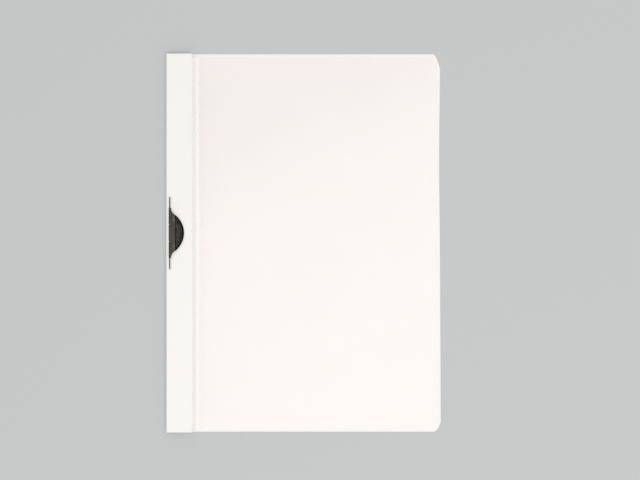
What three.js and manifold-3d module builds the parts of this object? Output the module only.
// A swing-clip presentation folder for A4 sheets, lying shut on its back cover.
// One white film makes the back cover, the spine and the strip down the front.
// A clear film makes the front cover, which steps down from the strip to the back.
// A steel channel in the spine carries a wire pin, and a half-moon lever turns on the pin.
// Millimetres, +Z up. X runs from the spine to the fore edge and Y up the page.

import * as THREE from 'three';
import { mergeVertices } from 'three/addons/utils/BufferGeometryUtils.js';
import Module from 'manifold-3d';

const wasm = await Module();
wasm.setup();

// Back cover, spine and strip: one folded sheet
const BACK_WIDTH = 225;
const BACK_HEIGHT = 310;
const BACK_FILM = 0.45;
const PAPER_GAP = 4.6;
const STRIP_WIDTH = 21.1;
const FOLD_INNER_RADIUS = 0.5;

// Fore edge of the back cover: how far it lies in from the full width, and at what height
const FORE_EDGE_TOP_INSET = 0.6;
const FORE_EDGE_WAIST_INSET = 1.3;
const FORE_EDGE_MIDDLE_INSET = 0.7;
const FORE_EDGE_WAIST_HEIGHT = 68;

// Trimmed corners at the fore edge
const TOP_CORNER_WIDTH = 5.4;
const TOP_CORNER_HEIGHT = 13;
const FOOT_CORNER_WIDTH = 5.1;
const FOOT_CORNER_HEIGHT = 8.2;
const CORNER_FULLNESS = 0.45;

// Front cover: a clear sheet, smaller than the back on three sides
const FRONT_FILM = 0.25;
const FRONT_END_MARGIN = 2.7;
const FRONT_FORE_MARGIN = 3.4;
const STEP_WIDTH = 4.8;
const STEP_TOP_HANDLE = 1.2;
const STEP_FOOT_HANDLE = 2.8;
const COVER_LIFT = 0.3;
const COVER_RISE = 1.9;
const HINGE_GAP = 0.3;
const HINGE_CLEARANCE = 0.25;

// Steel channel inside the spine
const CHANNEL_STEEL = 0.4;
const CHANNEL_LENGTH = 76;
const CHANNEL_REACH = 17;
const CHANNEL_BEND_RADIUS = 0.35;
const CHANNEL_CORNER_RADIUS = 4;
const FLANGE_REACH = 4.4;

// Hinge of the lever: a wire with a head at each end, held by two lugs
const CLIP_HEIGHT = 8.2;
const PIN_FROM_SPINE = 2.95;
const PIN_RADIUS = 0.4;
const PIN_HEAD_RADIUS = 0.58;
const PIN_HEAD_LENGTH = 0.3;
const PIN_LENGTH = 59;
const PIN_CLEARANCE = 0.06;
const LUG_THICKNESS = 0.5;
const LUG_RADIUS = 0.8;
const LUG_CLEARANCE = 0.2;
const LUG_FROM_HEAD = 0.1;

// Half-moon lever
const LEVER_STEEL = 0.3;
const LEVER_BASE = 41;
const LEVER_REACH = 11.6;
const LEVER_ARC_RADIUS = 18.6;
const LEVER_BASE_MARGIN = 0.6;
const CREASE_FROM_PIN = 4.5;
const CREASE_HALF_WIDTH = 0.45;
const CREASE_DEPTH = 0.22;
const RIM_HALF_STEEL = 0.1;
const LEVER_CLEARANCE = 0.2;
const KNUCKLE_GAP = 1.5;
const KNUCKLE_GAP_PLACE = 7;

// How finely curves are cut into facets
const FOLD_STEPS = 6;
const EDGE_STEPS = 20;
const CORNER_STEPS = 6;
const STEP_STEPS = 16;
const PIN_FACETS = 24;
const ARC_STEPS = 28;
const FLARE_STEPS = 8;

// Sizes that follow from those above
const STRIP_TOP = 2 * BACK_FILM + PAPER_GAP;
const STRIP_UNDERSIDE = STRIP_TOP - BACK_FILM;
const HALF_HEIGHT = BACK_HEIGHT / 2;
const BORE_RADIUS = PIN_RADIUS + PIN_CLEARANCE;
const KNUCKLE_RADIUS = BORE_RADIUS + LEVER_STEEL;
const PIN_Z = STRIP_TOP + LEVER_CLEARANCE + KNUCKLE_RADIUS;
const LUG_OUTER_FACE = PIN_LENGTH / 2 - PIN_HEAD_LENGTH - LUG_FROM_HEAD;
const COVER_START = STRIP_WIDTH + HINGE_GAP;
const COVER_REACH = BACK_WIDTH - FRONT_FORE_MARGIN;
const PAST = 1;
const STRAIGHT = 1e-7;

// The hinge line of the front cover lies over the gap beside the strip, so high that the
// film that starts level with the strip's underside clears the strip's top once turned over.
export const COVER_HINGE = {
  x: STRIP_WIDTH + HINGE_GAP / 2 - BACK_WIDTH / 2,
  y: 0,
  z: (STRIP_UNDERSIDE + STRIP_TOP + HINGE_CLEARANCE) / 2,
};

// The lever turns on the middle of its wire.
export const LEVER_HINGE = {
  x: PIN_FROM_SPINE - BACK_WIDTH / 2,
  y: CLIP_HEIGHT,
  z: PIN_Z,
};

function solidOf(geometry) {
  const bare = geometry.index ? geometry.toNonIndexed() : geometry.clone();
  bare.deleteAttribute('normal');
  bare.deleteAttribute('uv');
  const merged = mergeVertices(bare, 1e-5);
  const mesh = new wasm.Mesh({
    numProp: 3,
    vertProperties: merged.attributes.position.array,
    triVerts: new Uint32Array(merged.index.array),
  });
  return new wasm.Manifold(mesh);
}

function geometryOf(solid) {
  const mesh = solid.getMesh();
  const indexed = new THREE.BufferGeometry();
  indexed.setAttribute('position', new THREE.BufferAttribute(mesh.vertProperties, mesh.numProp));
  indexed.setIndex(new THREE.BufferAttribute(mesh.triVerts, 1));
  const geometry = indexed.toNonIndexed();
  geometry.computeVertexNormals();
  return geometry;
}

// A closed shape from an outline, less the points where the outline runs straight on.
function shapeOf(outline) {
  const turning = outline.filter(([x, y], i) => {
    const [beforeX, beforeY] = outline.at(i - 1);
    const [afterX, afterY] = outline[(i + 1) % outline.length];
    const turn = (x - beforeX) * (afterY - y) - (y - beforeY) * (afterX - x);
    return Math.abs(turn) > STRAIGHT;
  });
  return new THREE.Shape(turning.map(([x, y]) => new THREE.Vector2(x, y)));
}

// A section drawn in X and Z, drawn out along Y between two ends.
function drawnAlongY(section, low, high) {
  const geometry = new THREE.ExtrudeGeometry(section, { depth: high - low, bevelEnabled: false });
  geometry.rotateX(Math.PI / 2);
  geometry.translate(0, high, 0);
  return solidOf(geometry);
}

// An outline drawn in X and Y, drawn up along Z between two levels.
function drawnUp(outline, low, high) {
  const geometry = new THREE.ExtrudeGeometry(shapeOf(outline), {
    depth: high - low,
    bevelEnabled: false,
  });
  geometry.translate(0, 0, low);
  return solidOf(geometry);
}

function block(low, high) {
  const [width, length, height] = high.map((top, axis) => top - low[axis]);
  const geometry = new THREE.BoxGeometry(width, length, height);
  geometry.translate(low[0] + width / 2, low[1] + length / 2, low[2] + height / 2);
  return solidOf(geometry);
}

function arc(centreX, centreY, radius, from, to, steps) {
  return Array.from({ length: steps + 1 }, (_, i) => {
    const angle = THREE.MathUtils.degToRad(from + ((to - from) * i) / steps);
    return [centreX + radius * Math.cos(angle), centreY + radius * Math.sin(angle)];
  });
}

// A trimmed corner between two points of the outline, fuller than a straight cut.
function trimmedCorner(start, end, corner) {
  const [from, to, sharp] = [start, end, corner].map(([x, y]) => new THREE.Vector2(x, y));
  const pull = from.clone().add(to).multiplyScalar(0.5).lerp(sharp, CORNER_FULLNESS);
  const curve = new THREE.QuadraticBezierCurve(from, pull, to);
  return curve.getPoints(CORNER_STEPS).map((point) => [point.x, point.y]);
}

// The back cover seen from above: square at the spine, slightly bowed at the fore edge.
function backOutline() {
  const footTop = FOOT_CORNER_HEIGHT - HALF_HEIGHT;
  const headFoot = HALF_HEIGHT - TOP_CORNER_HEIGHT;
  const headX = BACK_WIDTH - FORE_EDGE_TOP_INSET;
  const bow = new THREE.SplineCurve([
    new THREE.Vector2(BACK_WIDTH, footTop),
    new THREE.Vector2(BACK_WIDTH - FORE_EDGE_MIDDLE_INSET, 0),
    new THREE.Vector2(BACK_WIDTH - FORE_EDGE_WAIST_INSET, FORE_EDGE_WAIST_HEIGHT),
    new THREE.Vector2(headX, headFoot),
  ]);
  const edge = bow.getPoints(EDGE_STEPS).map((point) => [point.x, point.y]);
  const foot = trimmedCorner(
    [BACK_WIDTH - FOOT_CORNER_WIDTH, -HALF_HEIGHT],
    [BACK_WIDTH, footTop],
    [BACK_WIDTH, -HALF_HEIGHT],
  );
  const head = trimmedCorner(
    [headX, headFoot],
    [headX - TOP_CORNER_WIDTH, HALF_HEIGHT],
    [headX, HALF_HEIGHT],
  );
  return [[0, -HALF_HEIGHT], ...foot, ...edge.slice(1, -1), ...head, [0, HALF_HEIGHT]];
}

// The front cover seen from above: a smaller sheet with the same trimmed corners.
function frontOutline() {
  const half = HALF_HEIGHT - FRONT_END_MARGIN;
  const foot = trimmedCorner(
    [COVER_REACH - FOOT_CORNER_WIDTH, -half],
    [COVER_REACH, FOOT_CORNER_HEIGHT - half],
    [COVER_REACH, -half],
  );
  const head = trimmedCorner(
    [COVER_REACH, half - TOP_CORNER_HEIGHT],
    [COVER_REACH - TOP_CORNER_WIDTH, half],
    [COVER_REACH, half],
  );
  return [[0, -half], ...foot, ...head, [0, half]];
}

// White film folded twice round the spine: back panel, spine wall and strip.
function backCover() {
  const outer = FOLD_INNER_RADIUS + BACK_FILM;
  const inner = FOLD_INNER_RADIUS;
  const section = shapeOf([
    [BACK_WIDTH, 0],
    [BACK_WIDTH, BACK_FILM],
    ...arc(outer, outer, inner, 270, 180, FOLD_STEPS),
    ...arc(outer, STRIP_TOP - outer, inner, 180, 90, FOLD_STEPS),
    [STRIP_WIDTH, STRIP_UNDERSIDE],
    [STRIP_WIDTH, STRIP_TOP],
    ...arc(outer, STRIP_TOP - outer, outer, 90, 180, FOLD_STEPS),
    ...arc(outer, outer, outer, 180, 270, FOLD_STEPS),
  ]);
  let film = drawnAlongY(section, -HALF_HEIGHT - PAST, HALF_HEIGHT + PAST);
  film = film.intersect(drawnUp(backOutline(), -PAST, STRIP_TOP + PAST));
  for (const side of [-1, 1]) {
    film = film.subtract(lugSlot(side));
  }
  return film;
}

// The slot in the strip that one lug of the channel stands up through.
function lugSlot(side) {
  const [low, high] = lugEnds(side);
  return block(
    [PIN_FROM_SPINE - LUG_RADIUS - LUG_CLEARANCE, low - LUG_CLEARANCE, STRIP_UNDERSIDE - PAST],
    [PIN_FROM_SPINE + LUG_RADIUS + LUG_CLEARANCE, high + LUG_CLEARANCE, STRIP_TOP + PAST],
  );
}

// The lower and upper end of a lug along the page.
function lugEnds(side) {
  const faces = [LUG_OUTER_FACE, LUG_OUTER_FACE - LUG_THICKNESS];
  return faces.map((face) => CLIP_HEIGHT + side * face).sort((a, b) => a - b);
}

// A band of even thickness along a line of points drawn in X and Z.
function bandAlong(points, thickness) {
  const last = points.length - 1;
  const sides = points.map(([x, z], i) => {
    const before = points[Math.max(i - 1, 0)];
    const after = points[Math.min(i + 1, last)];
    const run = new THREE.Vector2(after[0] - before[0], after[1] - before[1]).normalize();
    const half = thickness / 2;
    return [[x - run.y * half, z + run.x * half], [x + run.y * half, z - run.x * half]];
  });
  return [...sides.map(([upper]) => upper), ...sides.map(([, lower]) => lower).reverse()];
}

// Clear film: level with the strip's underside where it starts, then a step down, then a
// panel that slopes gently to the fore edge, where it lies on the back cover.
function frontCover() {
  const startZ = STRIP_UNDERSIDE - FRONT_FILM / 2;
  const edgeZ = BACK_FILM + COVER_LIFT + FRONT_FILM / 2;
  const start = new THREE.Vector2(COVER_START, startZ);
  const foot = new THREE.Vector2(COVER_START + STEP_WIDTH, edgeZ + COVER_RISE);
  const edge = new THREE.Vector2(COVER_REACH, edgeZ);
  const slope = edge.clone().sub(foot).normalize();
  const step = new THREE.CubicBezierCurve(
    start,
    new THREE.Vector2(COVER_START + STEP_TOP_HANDLE, startZ),
    foot.clone().addScaledVector(slope, -STEP_FOOT_HANDLE),
    foot,
  );
  const beyond = edge.clone().addScaledVector(slope, PAST);
  const line = [...step.getPoints(STEP_STEPS), beyond].map((point) => [point.x, point.y]);
  const section = shapeOf(bandAlong(line, FRONT_FILM));
  const film = drawnAlongY(section, -HALF_HEIGHT - PAST, HALF_HEIGHT + PAST);
  return film.intersect(drawnUp(frontOutline(), -PAST, STRIP_TOP + PAST));
}

// Sprung steel bent to a channel: a broad leg on the back panel, a wall in the spine and a
// narrow flange under the strip, whose two ends are bent up as lugs.
function clipChannel() {
  const legZ = BACK_FILM;
  const wallX = BACK_FILM;
  const outer = FOLD_INNER_RADIUS + CHANNEL_BEND_RADIUS;
  const inner = Math.max(outer - CHANNEL_STEEL, CHANNEL_BEND_RADIUS / 2);
  const [bendX, lowZ, highZ] = [wallX + outer, legZ + outer, STRIP_UNDERSIDE - outer];
  const section = shapeOf([
    [CHANNEL_REACH, legZ],
    [CHANNEL_REACH, legZ + CHANNEL_STEEL],
    ...arc(bendX, lowZ, inner, 270, 180, FOLD_STEPS),
    ...arc(bendX, highZ, inner, 180, 90, FOLD_STEPS),
    [FLANGE_REACH, STRIP_UNDERSIDE - CHANNEL_STEEL],
    [FLANGE_REACH, STRIP_UNDERSIDE],
    ...arc(bendX, highZ, outer, 90, 180, FOLD_STEPS),
    ...arc(bendX, lowZ, outer, 180, 270, FOLD_STEPS),
  ]);
  const half = CHANNEL_LENGTH / 2;
  const plan = roundedLeg(CHANNEL_REACH, CLIP_HEIGHT - half, CLIP_HEIGHT + half);
  let channel = drawnAlongY(section, CLIP_HEIGHT - half, CLIP_HEIGHT + half);
  channel = channel.intersect(drawnUp(plan, 0, STRIP_TOP));
  const middle = block(
    [0, CLIP_HEIGHT - LUG_OUTER_FACE, legZ + CHANNEL_STEEL + PAPER_GAP / 4],
    [CHANNEL_REACH, CLIP_HEIGHT + LUG_OUTER_FACE, STRIP_TOP],
  );
  const leg = block(
    [0, CLIP_HEIGHT - half - PAST, 0],
    [CHANNEL_REACH + PAST, CLIP_HEIGHT + half + PAST, legZ + CHANNEL_STEEL + PAPER_GAP / 4],
  );
  channel = channel.intersect(middle.add(leg));
  for (const side of [-1, 1]) {
    channel = channel.add(lug(side));
  }
  return channel;
}

function roundedLeg(reach, low, high) {
  const radius = CHANNEL_CORNER_RADIUS;
  return [
    [0, low],
    ...arc(reach - radius, low + radius, radius, 270, 360, CORNER_STEPS),
    ...arc(reach - radius, high - radius, radius, 0, 90, CORNER_STEPS),
    [0, high],
  ];
}

// An upright tab with a round head, bored for the wire.
function lug(side) {
  const [low, high] = lugEnds(side);
  const outline = [
    [PIN_FROM_SPINE + LUG_RADIUS, STRIP_UNDERSIDE - CHANNEL_STEEL],
    ...arc(PIN_FROM_SPINE, PIN_Z, LUG_RADIUS, 0, 180, PIN_FACETS / 2),
    [PIN_FROM_SPINE - LUG_RADIUS, STRIP_UNDERSIDE - CHANNEL_STEEL],
  ];
  const tab = shapeOf(outline);
  tab.holes.push(new THREE.Path(circle(PIN_FROM_SPINE, PIN_Z, BORE_RADIUS)));
  return drawnAlongY(tab, low, high);
}

function circle(centreX, centreY, radius) {
  const points = arc(centreX, centreY, radius, 0, 360, PIN_FACETS).slice(0, -1);
  return points.map(([x, y]) => new THREE.Vector2(x, y));
}

// The wire, with its middle at the origin and its length along Y.
function hingePin() {
  const half = PIN_LENGTH / 2;
  const neck = half - PIN_HEAD_LENGTH;
  const profile = [
    [0, -half],
    [PIN_HEAD_RADIUS, -half],
    [PIN_HEAD_RADIUS, -neck],
    [PIN_RADIUS, -neck],
    [PIN_RADIUS, neck],
    [PIN_HEAD_RADIUS, neck],
    [PIN_HEAD_RADIUS, half],
    [0, half],
  ];
  const points = profile.map(([radius, along]) => new THREE.Vector2(radius, along));
  return solidOf(new THREE.LatheGeometry(points, PIN_FACETS));
}

// The lever seen from above, about the wire: a straight base, a concave flare at each end
// and one round arc between them.
function leverOutline() {
  const half = LEVER_BASE / 2;
  const centre = LEVER_REACH - LEVER_ARC_RADIUS;
  const reach = LEVER_BASE_MARGIN - centre;
  const flareRadius = (reach ** 2 + half ** 2 - LEVER_ARC_RADIUS ** 2) / 2 / (LEVER_ARC_RADIUS - reach);
  const flareX = LEVER_BASE_MARGIN + flareRadius;
  const turn = THREE.MathUtils.radToDeg(Math.atan2(half, flareX - centre));
  const left = -KNUCKLE_RADIUS - PAST;
  return [
    [left, -half],
    ...arc(flareX, -half, flareRadius, 180, 180 - turn, FLARE_STEPS),
    ...arc(centre, 0, LEVER_ARC_RADIUS, -turn, turn, ARC_STEPS).slice(1, -1),
    ...arc(flareX, half, flareRadius, 180 + turn, 180, FLARE_STEPS),
    [left, half],
  ];
}

// Spring steel rolled round the wire, level as far as the crease, then sloping to the rim.
function clipLever() {
  const half = LEVER_BASE / 2;
  const levelZ = KNUCKLE_RADIUS - LEVER_STEEL / 2;
  const rimZ = -KNUCKLE_RADIUS + LEVER_STEEL / 2 + RIM_HALF_STEEL;
  const leaf = bandAlong(
    [
      [0, levelZ],
      [CREASE_FROM_PIN - CREASE_HALF_WIDTH, levelZ],
      [CREASE_FROM_PIN, levelZ - CREASE_DEPTH],
      [CREASE_FROM_PIN + CREASE_HALF_WIDTH, levelZ],
      [LEVER_REACH + PAST, rimZ],
    ],
    LEVER_STEEL,
  );
  const ring = new THREE.Shape(circle(0, 0, KNUCKLE_RADIUS));
  const bore = new THREE.Shape(circle(0, 0, BORE_RADIUS));
  let lever = drawnAlongY(shapeOf(leaf), -half, half).add(drawnAlongY(ring, -half, half));
  lever = lever.subtract(drawnAlongY(bore, -half - PAST, half + PAST));
  lever = lever.intersect(drawnUp(leverOutline(), -PIN_Z, PIN_Z));
  for (const side of [-1, 1]) {
    const middle = side * KNUCKLE_GAP_PLACE;
    lever = lever.subtract(
      block(
        [-KNUCKLE_RADIUS - PAST, middle - KNUCKLE_GAP / 2, -KNUCKLE_RADIUS - PAST],
        [KNUCKLE_RADIUS, middle + KNUCKLE_GAP / 2, KNUCKLE_RADIUS + PAST],
      ),
    );
  }
  return lever;
}

function named(name, solid, material) {
  const mesh = new THREE.Mesh(geometryOf(solid), material);
  mesh.name = name;
  return mesh;
}

const whiteFilm = new THREE.MeshStandardMaterial({ color: 0xfdfaf7, roughness: 0.5, metalness: 0 });
const clearFilm = new THREE.MeshStandardMaterial({
  color: 0xf6f3ee,
  roughness: 0.12,
  metalness: 0,
  transparent: true,
  opacity: 0.3,
});
const darkSteel = new THREE.MeshStandardMaterial({ color: 0x2c2b27, roughness: 0.35, metalness: 0.9 });
const springSteel = new THREE.MeshStandardMaterial({ color: 0x8f9092, roughness: 0.3, metalness: 1 });

const folder = new THREE.Group();
folder.position.x = -BACK_WIDTH / 2;

const pin = named('hinge_pin', hingePin(), darkSteel);
const lever = named('clip_lever', clipLever(), darkSteel);
for (const turned of [pin, lever]) {
  turned.position.set(PIN_FROM_SPINE, CLIP_HEIGHT, PIN_Z);
}

folder.add(
  named('back_cover', backCover(), whiteFilm),
  named('front_cover', frontCover(), clearFilm),
  named('clip_channel', clipChannel(), springSteel),
  pin,
  lever,
);

export default folder;
